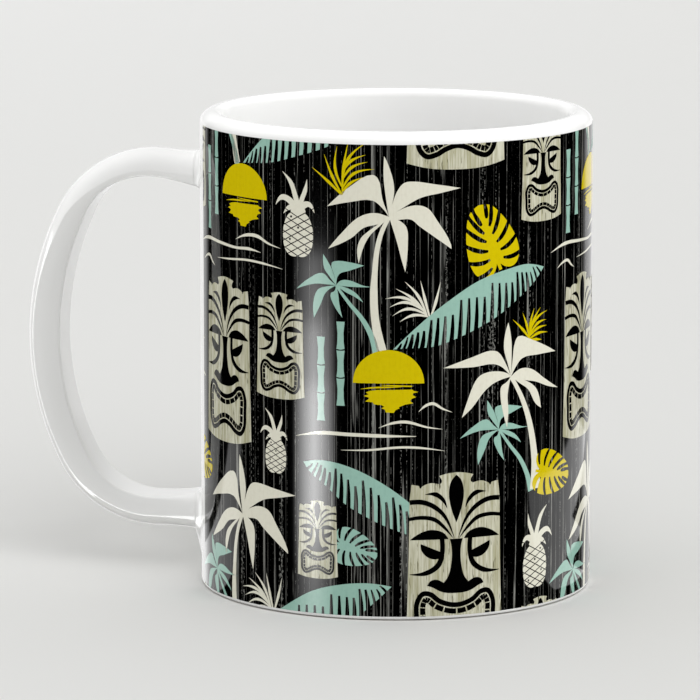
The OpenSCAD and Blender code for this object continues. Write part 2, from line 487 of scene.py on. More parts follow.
TEAL_TRUNK = ([(0, 0), (2.7, -3.5), (5.2, -6.4), (7.1, -9.8), (8.1, -13.3)], [0.5, 0.7, 0.9, 1.1, 1.4])


def palm(fronds, trunk):
    return [smooth([HUB] + frond, steps=4) for frond in fronds] + [stroke(*trunk)], []


LEAF_HALF = [corner(0, 1.3), (1.3, -0.3), (3.1, -0.6), (4.5, 0.6), (4.9, 2.6), (4.5, 4.9), (3.5, 7.4),
             (2.0, 9.5)]
# Slits on one side of a split leaf: inner end, way they run from the midrib in degrees, and length
LEAF_SLITS = [((0.6, 7.5), 15, 2.5), ((0.65, 6.2), 28, 3.6), ((0.75, 4.9), 42, 4.2), ((1.0, 3.5), 58, 4.2),
              ((1.2, 2.2), 76, 4.1), ((1.3, 0.9), 95, 3.8)]


def monstera(slim=1.0):
    """A split leaf 10 long on the Y axis, with its stalk at the origin."""
    half = [(p[0] * slim, *p[1:]) for p in LEAF_HALF]
    ink = [smooth(half + [corner(0, 10.2)] + mirrored(half[1:]), steps=5)]
    ink.append(stroke([(0, 2.5), (0.1, -0.3)], [0.7, 0.5]))
    gaps = []
    for side in (-1, 1):
        for (x, y), angle, reach in LEAF_SLITS:
            x, y, a = x * slim, y + 0.35 * side, math.radians(angle)
            line = []
            for share in (0, 0.3, 0.65, 0.95, 1.35):
                bend = 1.5 * share * (1 - share)
                away = reach * share
                line.append((side * (x + away * math.sin(a) * slim), y + away * math.cos(a) - bend))
            gaps.append(stroke(line, [0.35, 0.66, 0.7, 0.5, 0.95], steps=4))
    return ink, gaps


def along(line, share):
    """The point that lies this share of the way along a line's list."""
    place = min(max(share, 0), 1) * (len(line) - 1)
    i = min(int(place), len(line) - 2)
    (ax, ay), (bx, by) = line[i], line[i + 1]
    return ax + (bx - ax) * (place - i), ay + (by - ay) * (place - i)


def height_at(line, x):
    """The height at x of a line that runs to the right."""
    for (ax, ay), (bx, by) in zip(line, line[1:]):
        if ax <= x <= bx:
            return ay + (by - ay) * (x - ax) / (bx - ax)
    return line[-1][1]


def banana(slits, top, bottom, upright=0.7):
    """A blade between two edges, both drawn from left to right, torn from the lower edge in blunt slits.

    The slits are upright at one share of the way along, nearer the tip than the stalk, and the others lean
    towards that place, most of all near the tip.
    """
    upper, lower = smooth(top, closed=False, steps=8), smooth(bottom, closed=False, steps=8)
    gaps = []
    for i in range(slits):
        t = (i + 1) / (slits + 1)
        x = upper[-1][0] * (t - 0.04 * math.sin(2 * math.pi * t))
        low = (x, height_at(lower, x))
        steep = (t > upright) == (upright > 0.5)
        shift = (6 if steep else 1.5) * (upright - t)
        reach = 0.6 + 0.22 * ((i * 7) % 4) / 3    # the slits are of four lengths, in turn
        rise = height_at(upper, x + shift) - low[1]
        end = (x + shift * reach, low[1] + rise * reach)
        foot = (low[0] - (end[0] - low[0]) * 0.1, low[1] - (end[1] - low[1]) * 0.1)
        mid = ((foot[0] + end[0]) / 2 + 0.1, (foot[1] + end[1]) / 2)
        wide = 0.82 if 0.12 < t < 0.85 else 0.5
        gaps.append(stroke([foot, mid, end], [wide * 1.2, wide, wide * 0.55], steps=3))
    return [upper + lower[-2:0:-1]], gaps


def fern(blades):
    """Curved blades, each from its foot to its tip by way of a bend."""
    return [stroke([foot, bend, tip], [0.3, 0.6, 0.03], steps=6) for foot, bend, tip in blades], []


def bamboo(tall, half=0.85, joints=3):
    """A cane with swollen ends to each joint, and a dark line between the joints."""
    ink, gaps = [], []
    step = tall / joints
    for k in range(joints):
        low, high = k * step, (k + 1) * step
        thin, neck = half * 0.72, half * 0.78
        left = [(-half, low), (-neck, low + step * 0.25), (-thin, low + step * 0.6), (-half, high)]
        ink.append(left + mirrored(left))
        if k:
            line = [(-half * 1.2, low + 0.05), (0, low - 0.1), (half * 1.2, low + 0.1)]
            gaps.append(stroke(line, [0.3, 0.2, 0.35]))
    return ink, gaps


PINE_LEAVES = [
    ([(0.4, 0), (-0.5, 3.2), (-1.6, 6.0), (-3.5, 8.0)], [1.2, 1.1, 0.9, 0.05]),
    ([(0.3, 0), (0.9, 2.6), (1.7, 4.6), (2.1, 6.8)], [1.1, 1.0, 0.9, 0.05]),
    ([(0, 0), (-1.6, 2.2), (-3.6, 2.9), (-5.2, 1.3)], [1.2, 1.3, 1.1, 0.05]),
    ([(0, 0), (-1.2, 1.1), (-2.2, 0.8), (-3.3, -0.3)], [1.2, 1.2, 0.9, 0.05]),
    ([(0.2, 0), (1.6, 1.7), (2.6, 1.8), (3.7, 0.2)], [1.2, 1.3, 1.0, 0.05]),
]


def pineapple():
    """A fruit 6.8 wide and 8.6 tall below its origin, with a leafy crown above it."""
    tall, half = 8.7, 3.4
    side = [(1.9, -0.2), (half * 0.93, -2.4), (half, -5), (half * 0.85, -7.4), (1.6, -8.6)]
    ink = [smooth([(0, 0.2)] + side + [(0, -tall)] + mirrored(side))]
    ink += [stroke(points, widths) for points, widths in PINE_LEAVES]
    ink.append(disc(0.1, 0.3, 1.7, 1.1, 16))
    gaps = []
    for k in range(6):
        y = -0.6 - 1.55 * k
        gaps.append(stroke([(-4, y - 2.3), (0, y - 0.2), (4, y + 1.9)], [0.2, 0.2, 0.2], steps=2))
        gaps.append(stroke([(-4, y + 1.9), (0, y - 0.2), (4, y - 2.3)], [0.2, 0.2, 0.2], steps=2))
    gaps += [disc(x, y, 0.24, 0.24, 10) for x, y in ((-1.5, -0.8), (0.1, -2.9), (-1.8, -5.3), (1.9, -7.1))]
    return ink, gaps


POOL_RIGHT = [(4.7, -1.2), (5.0, -1.45), (5.9, -1.7), (4.9, -1.95), (4.8, -2.3), (5.5, -2.75), (4.6, -3.05),
              (4.3, -3.5), (4.9, -3.95), (3.3, -4.2), (2.1, -4.7), (2.2, -4.95), (1.4, -5.3), (1.1, -5.85)]
POOL_LEFT = [(-0.5, -5.8), (-0.7, -5.2), (-1.4, -4.95), (-0.8, -4.65), (-1.4, -4.3), (-2.9, -4.2),
             (-3.1, -3.8), (-4.6, -3.65), (-4.0, -3.2), (-3.8, -2.9), (-4.9, -2.55), (-3.9, -2.2),
             (-4.5, -1.85), (-3.6, -1.5), (-2.2, -1.3)]


def sun():
    """A half disc 14 across on the X axis, over its broken reflection."""
    n = 24
    dome = [(7.1 * math.cos(math.pi * i / n), 6.7 * math.sin(math.pi * i / n)) for i in range(n + 1)]
    streaks = [stroke([(-1.6, -0.3), (1.5, -0.45), (4.7, -0.55)], [0.05, 0.3, 0.25]),
               stroke([(-5.5, -1.2), (-3.4, -0.9), (-0.6, -0.75), (2.6, -0.7)], [0.05, 0.3, 0.35, 0.05])]
    return [dome, POOL_RIGHT + POOL_LEFT] + streaks, []


def waves(lines):
    return [stroke(points, widths) for points, widths in lines], []


PANEL = [corner(0, 37.1), (2.0, 36.9), corner(3.6, 36.5), (3.0, 35.3), corner(3.5, 34.8), (5.4, 35.1),
         corner(7.1, 34.4), (7.3, 34.1), corner(7.6, 34.6), corner(9.1, 34.9), corner(9.5, 31.5), (9.7, 18),
         corner(10.2, 1.4), (5.5, 0.3)]
SPEAR = [corner(0, 36.6), (1.0, 35.5), (1.55, 33.3), (1.15, 30.2), corner(0, 27)]
BROW = [corner(9.4, 23.7), (7.7, 24.9), (5.6, 25.65), (4, 25.55), (2.5, 24.9), corner(1.6, 23.7),
        corner(2.5, 23.7), corner(3.4, 23.7)]
FAN = [
    ([(6.4, 32.85), (4.2, 32.8), (2.7, 31.6), (1.9, 29.9)], [0.05, 0.95, 0.75, 0.03]),
    ([(9.45, 31.3), (6.9, 31.3), (4.5, 30.3), (2.4, 28.3), (0.4, 23.8)], [0.95, 1.0, 0.95, 0.7, 0.05]),
    ([(9.6, 27.9), (6.9, 28.2), (4.4, 27.7), (2.4, 26.0), (0.6, 23.8)], [0.7, 0.8, 0.85, 0.6, 0.05]),
]
UNDER_EYE = ([(2.95, 24), (2.95, 20.5), (3.7, 18.5), (6, 17.0), (9.4, 16.75)], [0.95, 1.0, 1.1, 1.0, 0.1])
LID = [corner(3.3, 21.2), corner(7.25, 22.9), (7.1, 21.6), (5.9, 20.2), (4.4, 19.7), corner(3.3, 19.9)]
NOSE = [corner(0, 23.7), corner(1.35, 23.7), (0.95, 21.9), (1.05, 18.6), (1.7, 16.1), corner(2.6, 14.9),
        (4.2, 15.6), (5.3, 15.3), corner(5.9, 14.4), (4.8, 14.0), (3.1, 13.1), (1.5, 12.75)]
LIP_LINE, TEETH_OUT, TEETH_IN = 1.0, 1.25, 2.3   # inwards from the mouth's outline
TEETH, TOOTH_GAP = 38, 0.42
MOUTH = [(0, 10.8), (3.1, 11.6), (5.1, 13.1), (7.0, 13.2), (8.4, 11.2), (8.5, 7.6), (8.1, 3.9), (6.4, 2.2),
         (4.0, 2.6), (2.2, 3.6)]


def whole(half, bottom=None):
    """A closed outline from its right half, which starts on the centre line."""
    return half + ([bottom] if bottom else []) + mirrored(half[1:])


def inset(line, amount):
    """The closed line, drawn clockwise, moved inwards."""
    out = []
    n = len(line)
    for i, (x, y) in enumerate(line):
        a, b = line[i - 2], line[(i + 2) % n]
        dx, dy = unit(b[0] - a[0], b[1] - a[1])
        out.append((x + dy * amount, y - dx * amount))
    return out


def stretched(shape, wide, tall):
    return [(x * wide, y * tall) for x, y in shape]


def tiki_panel(wide, tall):
    return [stretched(smooth(whole(PANEL, (0, 0)), steps=4), wide, tall)], []


def tiki_face(wide, tall):
    ink = [smooth(whole(SPEAR[:-1], SPEAR[-1])), smooth(whole(NOSE, (0, 12.7)))]
    for points, widths in FAN + [UNDER_EYE]:
        line = stroke(points, widths)
        ink += [line, mirrored(line)]
    for half in (BROW, LID):
        line = smooth(half)
        ink += [line, mirrored(line)]
    mouth = smooth(whole(MOUTH, (0, 4.2)), steps=6)
    ink.append(mouth)
    gaps = [inset(mouth, LIP_LINE)]
    outer, inner = inset(mouth, TEETH_OUT), inset(mouth, TEETH_IN)
    n = len(mouth)
    blocks = []
    for k in range(TEETH):
        first, last = int(n * k / TEETH), int(n * (k + 1) / TEETH)
        span = [i % n for i in range(first, last + 1)]
        rows = [[row[i] for i in span] for row in (outer, inner)]
        for row in rows:
            row[0] = along(row[:2], TOOTH_GAP)
        blocks.append(rows[0] + rows[1][::-1])
    return [[stretched(shape, wide, tall) for shape in group] for group in (ink, gaps, blocks)]


WAVES_UPPER = [
    (
        [(-19.9, -1.2), (-15, 0.1), (-8, -0.1), (-2, -0.4), (2, -0.2), (5.4, -0.6)],
        [0.05, 0.7, 0.6, 0.5, 0.6, 0.05],
    ),
    ([(-9.7, -3.3), (-5, -3.0), (1.5, -2.5), (6, -2.7), (11, -3.4)], [0.05, 0.35, 0.45, 0.45, 0.05]),
    ([(-2.2, 1.3), (1.2, 2.5), (4.4, 2.6), (7.5, 1.4), (10.5, 0.7)], [0.05, 0.6, 0.7, 0.4, 0.05]),
    (
        [(-17.7, -4.6), (-15.3, -3.5), (-13.7, -3.4), (-12.3, -4.4), (-10.9, -5.1)],
        [0.05, 0.5, 0.6, 0.4, 0.05],
    ),
]

FERN_UP = [
    ((0, 0), (-2.6, 2.4), (-6.2, 5.2)), ((0, 0.2), (-1.9, 3.6), (-3.6, 7.9)),
    ((0.1, 1.6), (-1.3, 5.2), (-0.9, 9.6)), ((0.2, 0.6), (0.4, 5.2), (1.4, 10.6)),
    ((0.3, 3.2), (1.4, 7.2), (4.8, 10.3)), ((0.3, 4.6), (1.9, 6.7), (4.9, 8.0)),
    ((0.2, 3.0), (2.0, 5.4), (5.2, 6.6)), ((0.2, 1.2), (2.4, 4.2), (6.6, 5.2)),
    ((0, 0), (1.6, 2.2), (4.6, 3.6)),
]
FERN_SIDE = [
    ((0, 0), (1.0, 3.0), (1.9, 6.8)), ((-0.3, 0), (-1.2, 3.4), (-2.1, 7.2)),
    ((-0.8, 0.2), (-2.6, 4.2), (-5.2, 7.0)), ((-1.0, 0.5), (-3.6, 3.6), (-7.0, 5.6)),
    ((-2.0, 1.9), (-5.4, 3.8), (-9.0, 3.6)), ((-1.0, 0.8), (-5.0, 2.9), (-8.2, 1.9)),
    ((-0.8, 0.3), (-4.5, 1.6), (-7.6, 0.2)), ((-0.6, 0), (-3.6, 0.3), (-6.2, -1.0)),
]
FERN_SMALL = [
    ((0, 0), (-1.8, 2.0), (-4.4, 4.3)), ((0, 0), (-0.8, 2.8), (-1.9, 5.4)),
    ((0.1, 0.6), (0.2, 3.2), (1.2, 6.0)), ((0.2, 1.2), (1.0, 3.6), (3.0, 6.0)),
    ((0.2, 1.8), (2.0, 4.0), (5.0, 5.2)), ((0.2, 1.0), (2.2, 2.9), (4.8, 3.4)),
    ((0.1, 0.6), (2.2, 1.9), (4.9, 2.2)), ((0, 0), (2.4, 0.9), (5.2, 0.8)),
    ((0, -0.2), (1.8, -0.3), (3.4, -0.5)),
]
LEAF_RISING = (
    [(0, 0), (6, 5.6), (10.4, 9.0), (17.5, 13.2), (25, 15.2), (29, 15.6), (33.6, 14.6)],
    [(0, 0), (2.4, 0.2), (8.2, 0.5), (14, 2.4), (21.6, 5.8), (27, 9.2), (31, 12.0), (33.6, 14.6)],
)
LEAF_FALLING = (
    [(0, 0), (4, 0.6), (9, -0.2), (14, -2.2), (20, -6.0), (25, -10.6), (27, -13)],
    [(0, 0), (1.6, -2), (5, -4.6), (9, -8.0), (14, -10.8), (19, -13), (24, -14.6), (27, -15)],
)
LEAF_LOW = (
    [(0, 0), (6, 5.6), (11.4, 9.4), (17.5, 13.0), (23, 14.6), (29, 15.2), (33.8, 14.6)],
    [(0, 0), (2.4, 0.2), (8.2, 0.8), (14, 2.4), (20.6, 4.6), (26, 7.6), (30, 11.0), (33.8, 14.6)],
)
WAVES_LOWER = [
    ([(-19.3, -10.9), (-14, -9.9), (-8, -9.9), (-2, -10.0), (5.5, -10.1)], [0.05, 0.75, 0.7, 0.7, 0.1]),
    ([(-9.5, -13.1), (-4, -12.9), (2, -12.3), (6, -12.4), (11.3, -13.2)], [0.05, 0.4, 0.45, 0.45, 0.05]),
    ([(-1.9, -8.4), (1.0, -7.4), (3.6, -7.2), (7.6, -8.3), (10.8, -8.8)], [0.05, 0.5, 0.6, 0.35, 0.05]),
    ([(6.0, -5.2), (7.4, -4.0), (8.8, -3.6), (10.8, -4.7), (12.8, -5.5)], [0.05, 0.5, 0.6, 0.4, 0.05]),
]

TILE_W, TILE_H = 90.0, 97.5
# name, drawing, ink, layer, place on the band, and where it has them size, turn in degrees, mirrored
MOTIFS = [
    ("sun_high", sun(), "mustard", 2, (-90, 82.8)),
    ("sun_low", sun(), "mustard", 2, (-56.6, 47.7)),
    ("palm_tall", palm(BONE_FRONDS, BONE_TRUNK), "bone", 1, (-56.5, 80.8)),
    ("palm_foot", palm(BONE_FRONDS, BONE_TRUNK), "bone", 1, (-90.2, 18.6)),
    ("palm_wide", palm(TALL_FRONDS, TALL_TRUNK), "bone", 2, (-30.8, 47.9)),
    ("teal_palm_high", palm(TEAL_FRONDS, TEAL_TRUNK), "teal", 1, (-67.1, 67)),
    ("teal_palm_mid", palm(TEAL_FRONDS, TEAL_TRUNK), "teal", 1, (-33.6, 37.5)),
    ("teal_palm_foot", palm(TEAL_FRONDS, TEAL_TRUNK), "teal", 1, (-100.3, 5.6), 1.1),
    ("split_leaf_large", monstera(0.88), "mustard", 1, (-33.6, 69.9), 1.34, 21),
    ("split_leaf_small", monstera(0.86), "mustard", 3, (-23.8, 28.1), 1.1, -103),
    ("split_leaf_teal", monstera(0.92), "teal", 1, (-67.1, 15.4), 0.85, -107),
    ("banana_leaf_high", banana(23, *LEAF_RISING), "teal", 2, (-55.7, 54.5)),
    ("banana_leaf_mid", banana(20, *LEAF_FALLING, 0.35), "teal", 1, (-74.2, 31.2)),
    ("banana_leaf_low", banana(22, *LEAF_LOW), "teal", 1, (-89.7, -7.8)),
    ("fern_mustard", fern(FERN_UP), "mustard", 1, (-66.0, 85.0)),
    ("fern_bone", fern(FERN_SIDE), "bone", 1, (-48.2, 61.0)),
    ("fern_small", fern(FERN_SMALL), "mustard", 1, (-26.0, 55.0)),
    ("fern_foot", fern(FERN_SIDE), "bone", 2, (-81.2, 0.2)),
    ("bamboo_a", bamboo(16.8), "teal", 1, (-103.7, 74.9)),
    ("bamboo_b", bamboo(17.2), "teal", 1, (-99.9, 78.2)),
    ("bamboo_c", bamboo(16.8), "teal", 1, (-70.3, 39.8)),
    ("bamboo_d", bamboo(16.8), "teal", 1, (-66.2, 43.0)),
    ("pineapple_high", pineapple(), "bone", 1, (-75.4, 80.9)),
    ("pineapple_mid", pineapple(), "bone", 1, (-80.8, 34.9), 0.77),
    ("pineapple_low", pineapple(), "bone", 1, (-24.1, 12.9), 0.98, 0, True),
    ("waves_high", waves(WAVES_UPPER), "bone", 1, (-90, 72.8)),
    ("waves_mid", waves(WAVES_LOWER), "bone", 1, (-56.6, 47.2)),
]
TIKI_W, TIKI_H = 20.4, 37.1               # the drawn panel's size
# name, centre, foot, width of the foot, height
TIKIS = [
    ("tiki_tall", -96.3, 32.4, 17.8, 33.6),
    ("tiki_mid", -79.8, 43.3, 11.8, 21.4),
    ("tiki_low", -71.1, 7.8, 8.7, 15.8),
    ("tiki_big", -42.9, -7.5, 20.4, 37.1),
    ("tiki_high", -22.5, 78.3, 11.8, 21.4),
]


def placed(shape, at, size, turn, mirror):
    c, s = math.cos(math.radians(turn)) * size, math.sin(math.radians(turn)) * size
    flip = -1 if mirror else 1
    return [(at[0] + flip * p[0] * c - p[1] * s, at[1] + flip * p[0] * s + p[1] * c) for p in shape]


# ---- films of ink, cut on the flat and rolled round the cup

HALF_BAND = math.radians(180 - PRINT_GAP) * PRINT_R
PANES = 218                               # upright strips that the band is split into
PANE_W = 2 * HALF_BAND / PANES
FILM = 0.02                               # how much each layer of ink adds
GROUND_SUNK, INK_SUNK = 0.1, 0.01         # how far the ground runs into the wall, and the inks into it
GROUND_R = CUP_R + FILM


def anticlockwise(shape):
    area = sum(a[0] * b[1] - b[0] * a[1] for a, b in zip(shape, shape[1:] + shape[:1]))
    return shape if area > 0 else shape[::-1]


def cut_out(inks, gaps=(), blocks=()):
    """Triangles of ink less gaps plus blocks, kept inside the band and split at the strips' edges."""
    shapes = [anticlockwise(shape) for shape in [*inks, *gaps, *blocks]]
    first_gap, first_block = len(inks), len(inks) + len(gaps)
    us = [p[0] for shape in shapes[:first_gap] for p in shape]
    vs = [p[1] for shape in shapes[:first_gap] for p in shape]
    left, right = max(min(us), -HALF_BAND), min(max(us), HALF_BAND)
    low, high = max(min(vs), PRINT_BOTTOM), min(max(vs), PRINT_TOP)
    if left >= right or low >= high:
        return [], []
    points, edges, faces = [], [], []
    for shape in shapes:
        faces.append(list(range(len(points), len(points) + len(shape))))
        points += shape
    for i in range(int((left + HALF_BAND) / PANE_W), int((right + HALF_BAND) / PANE_W) + 2):
        u = -HALF_BAND + i * PANE_W
        edges.append((len(points), len(points) + 1))
        points += [(u, min(vs) - 1), (u, max(vs) + 1)]
    for v in (PRINT_BOTTOM, PRINT_TOP):
        if min(vs) < v < max(vs):
            edges.append((len(points), len(points) + 1))
            points += [(min(us) - 1, v), (max(us) + 1, v)]
    found = delaunay_2d_cdt([Vector(p) for p in points], edges, faces, 0, 1e-5)
    flat, triangles, sources = found[0], found[2], found[5]
    kept = []
    for triangle, ids in zip(triangles, sources):
        inked = any(i < first_gap for i in ids) and not any(first_gap <= i < first_block for i in ids)
        if not (inked or any(i >= first_block for i in ids)):
            continue
        u = sum(flat[i].x for i in triangle) / 3
        v = sum(flat[i].y for i in triangle) / 3
        if abs(u) < HALF_BAND and PRINT_BOTTOM < v < PRINT_TOP:
            kept.append(triangle)
    used = sorted({i for triangle in kept for i in triangle})
    number = {old: new for new, old in enumerate(used)}
    return [flat[i] for i in used], [[number[i] for i in triangle] for triangle in kept]


def rolled(u, v, radius):
    """A point of the flat, on the strip of the many-sided band that it lies in."""
    place = (u + HALF_BAND) / PANE_W
    pane = min(max(int(place + 1e-6), 0), PANES - 1)
    share = place - pane
    a, b = [(-HALF_BAND + (pane + k) * PANE_W) / PRINT_R for k in (0, 1)]
    x = math.cos(a) * (1 - share) + math.cos(b) * share
    y = math.sin(a) * (1 - share) + math.sin(b) * share
    return (x * radius * MM, y * radius * MM, v * MM)


def round_normals(obj, middle_r):
    """Both skins of a film take the round cup's own normals, so that the strips don't show."""
    mesh = obj.data
    normals = []
    out = [Vector((v.co.x, v.co.y, 0)) for v in mesh.vertices]
    for face in mesh.polygons:
        outer = [out[i].length > middle_r * MM for i in face.vertices]
        for loop in face.loop_indices:
            radial = out[mesh.loops[loop].vertex_index].normalized()
            normals.append(radial if all(outer) else -radial if not any(outer) else face.normal.copy())
    for face in mesh.polygons:
        face.use_smooth = True
    mesh.normals_split_custom_set(normals)


def film(name, flat, triangles, low_r, high_r, material, slot, replaced=()):
    """A closed film of ink: the cut-out rolled at its lower skin, then drawn out to its upper one."""
    deselect()
    mesh = bpy.data.meshes.new(name)
    mesh.from_pydata([rolled(p[0], p[1], low_r) for p in flat], [], triangles)
    piece = bpy.data.objects.new(name, mesh)
    bpy.context.collection.objects.link(piece)
    piece.select_set(True)
    bpy.context.view_layer.objects.active = piece
    bpy.ops.object.mode_set(mode="EDIT")
    bpy.ops.mesh.select_all(action="SELECT")
    bpy.ops.mesh.extrude_region_move()
    bpy.ops.transform.resize(value=(high_r / low_r, high_r / low_r, 1), center_override=(0, 0, 0))
    bpy.ops.mesh.select_all(action="SELECT")
    bpy.ops.mesh.normals_make_consistent(inside=False)
    bpy.ops.object.mode_set(mode="OBJECT")
    round_normals(piece, (low_r + high_r) / 2)
    return finish_piece(piece, name, material, slot, replaced)


def make_ground(material):
    rows = 12
    height = PRINT_TOP - PRINT_BOTTOM
    flat, faces = [], []
    for i in range(PANES + 1):
        flat += [(-HALF_BAND + i * PANE_W, PRINT_BOTTOM + height * j / rows) for j in range(rows + 1)]
    for i in range(PANES):
        for j in range(rows):
            a = i * (rows + 1) + j
            faces.append([a, a + rows + 1, a + rows + 2, a + 1])
    low_r = CUP_R - GROUND_SUNK
    return film("print_ground", flat, faces, low_r, GROUND_R, material, "print_black", ["print_wrap"])


def print_motif(name, drawing, ink, layer, at, size=1, turn=0, mirror=False):
    """Every showing copy of one motif, a tile apart round the band and up it, each a piece of its own."""
    copies = 0
    for row in (0, 1, -1):
        for column in (-1, 0, 1, 2):
            spot = (at[0] + column * TILE_W, at[1] + row * TILE_H)
            shapes = [[placed(shape, spot, size, turn, mirror) for shape in group] for group in drawing]
            flat, triangles = cut_out(*shapes)
            if len(triangles) > 3:
                copies += 1
                high_r = GROUND_R + layer * FILM
                film(f"{name}_{copies}", flat, triangles, GROUND_R - INK_SUNK, high_r, *ink)


# ---- shader maths

class Value:
    """A socket in an expression: an operator on it adds a Math node."""

    def __init__(self, nodes, socket):
        self.nodes, self.socket = nodes, socket

    def maths(self, operation, a, b=0.0):
        return self.nodes.node("ShaderNodeMath", {"operation": operation}, {0: a, 1: b})

    def __add__(self, other):
        return self.maths("ADD", self, other)

    def __radd__(self, other):
        return self.maths("ADD", other, self)

    def __sub__(self, other):
        return self.maths("SUBTRACT", self, other)

    def __rsub__(self, other):
        return self.maths("SUBTRACT", other, self)

    def __mul__(self, other):
        return self.maths("MULTIPLY", self, other)

    def __rmul__(self, other):
        return self.maths("MULTIPLY", other, self)


class Nodes:
    """A node tree that expressions add their nodes to."""

    def __init__(self, tree):
        self.tree = tree

    def feed(self, node, inputs):
        for socket, value in inputs.items():
            if isinstance(value, Value):
                self.tree.links.new(value.socket, node.inputs[socket])
            else:
                node.inputs[socket].default_value = value

    def node(self, kind, settings=None, inputs=None, output=0):
        """Adds a node: its settings first, then the values or links of its sockets."""
        node = self.tree.nodes.new(kind)
        for setting, value in (settings or {}).items():
            setattr(node, setting, value)
        self.feed(node, inputs or {})
        return Value(self, node.outputs[output])

    def split(self, vector):
        """The three parts of a vector."""
        return [self.node("ShaderNodeSeparateXYZ", None, {0: vector}, part) for part in range(3)]

    def over(self, value, low, high, start=0.0, end=1.0):
        """The start below low, the end above high, and smooth between them."""
        return self.node("ShaderNodeMapRange", {"interpolation_type": "SMOOTHSTEP"}, {
            "Value": value, "From Min": low, "From Max": high, "To Min": start, "To Max": end})


class Shader(Nodes):
    """A material with one Principled shader."""

    def __init__(self, name, **constants):
        self.material = bpy.data.materials.new(name)
        self.material.use_nodes = True
        super().__init__(self.material.node_tree)
        self.surface = self.tree.nodes["Principled BSDF"]
        self.set(**constants)

    def set(self, **inputs):
        self.feed(self.surface, {socket.replace("_", " "): value for socket, value in inputs.items()})
        return self.material

    def places(self):
        """Object coordinates in millimetres."""
        at = self.node("ShaderNodeTexCoord", output="Object")
        return self.node("ShaderNodeVectorMath", {"operation": "SCALE"}, {0: at, "Scale": 1 / MM})

    def unrolled(self):
        """The band's own U and V in millimetres, as on the flat."""
        x, y, z = self.split(self.places())
        return x.maths("ARCTAN2", y, x) * PRINT_R, z

    def noise(self, u, v, detail=2.0, roughness=0.5):
        at = self.node("ShaderNodeCombineXYZ", None, {0: u, 1: v})
        return self.node("ShaderNodeTexNoise", {"noise_dimensions": "2D"},
                         {"Vector": at, "Scale": 1.0, "Detail": detail, "Roughness": roughness})

    def mix(self, share, a, b):
        return self.node("ShaderNodeMix", {"data_type": "RGBA"}, {0: share, 6: a, 7: b}, output=2)


def paint(r, g, b):
    """A colour from its 0 to 255 values, for a shader."""
    channels = [c / 255 for c in (r, g, b)]
    return tuple(c / 12.92 if c < 0.04045 else ((c + 0.055) / 1.055) ** 2.4 for c in channels) + (1.0,)


def glaze(name, colour, rough):
    """Gloss white glaze: faintly clouded where it pooled, shallowly rippled, and dry on the foot's ring."""
    shader = Shader(name, IOR=1.5)
    at = shader.places()
    cloud = shader.node("ShaderNodeTexNoise", None, {"Vector": at, "Scale": 0.03, "Detail": 2.0})
    pits = shader.node("ShaderNodeTexNoise", None, {"Vector": at, "Scale": 0.9, "Detail": 3.0})
    ripple = shader.node("ShaderNodeTexNoise", None, {"Vector": at, "Scale": 0.12, "Detail": 1.0})
    height = shader.split(at)[2]
    dry = 1 - shader.over(height, 0.03, 0.12)
    pooled = tuple(c * 0.97 for c in colour[:3]) + (1.0,)
    bare = paint(226, 220, 208)
    tone = shader.mix(shader.over(cloud, 0.35, 0.7), colour, pooled)
    tone = shader.mix(dry * (0.7 + 0.3 * pits), tone, bare)
    bump = shader.node("ShaderNodeBump", None, {"Strength": 0.12, "Distance": 0.0006, "Height": ripple})
    return shader.set(Base_Color=tone, Roughness=rough + 0.04 * pits + 0.55 * dry, Normal=bump)


INK_GLOSS = {"IOR": 1.45}


def ground_ink():
    """Black ground with grey dry-brush streaks: upright lines, some whole and some broken into specks."""
    shader = Shader("ground_ink", Roughness=0.07, **INK_GLOSS)
    u, v = shader.unrolled()

    def lines(spacing, start, half):
        """1 on thin upright lines, where a slow wave crosses its middle."""
        wave = shader.noise(u * (1 / spacing) + start, v * 0.0012, 1.0)
        return 1 - shader.over(wave.maths("ABSOLUTE", wave - 0.5), half * 0.45, half)

    fade = shader.noise(u * 0.9 + 3, v * 0.045, 3.0, 0.65)
    speck = shader.noise(u * 2.2, v * 1.25, 3.0, 0.7)
    dust = shader.noise(u * 3.0 + 9, v * 2.1, 2.0, 0.6)
    patch = shader.noise(u * 0.22 + 7, v * 0.012, 1.0)
    whole = lines(2.7, 0, 0.0095) * (0.2 + 0.8 * shader.over(fade, 0.45, 0.62))
    second = lines(4.5, 50, 0.0075) * shader.over(fade, 0.54, 0.36)
    broken = lines(2.0, 20, 0.017) * shader.over(speck, 0.53, 0.59) * shader.over(patch, 0.45, 0.58)
    flecks = shader.over(dust, 0.68, 0.74) * shader.over(patch, 0.54, 0.42) * 0.12
    share = whole * 0.9 + second * 0.6 + broken * 0.6 + flecks
    tone = shader.mix(share.maths("MINIMUM", share, 1.0), paint(0, 0, 0), paint(142, 142, 137))
    return shader.set(Base_Color=tone)


def flat_ink(name, colour, edge):
    """One printed colour, with the faint mottle that a screen leaves and thinner upright strokes."""
    shader = Shader(name, Roughness=0.07, **INK_GLOSS)
    u, v = shader.unrolled()
    mottle = shader.noise(u * 1.3, v * 1.1, 3.0)
    stroke_marks = shader.noise(u * 2.4, v * 0.12, 2.0)
    share = shader.over(mottle, 0.42, 0.75) * 0.5 + shader.over(stroke_marks, 0.5, 0.75) * 0.4
    return shader.set(Base_Color=shader.mix(share, colour, edge))


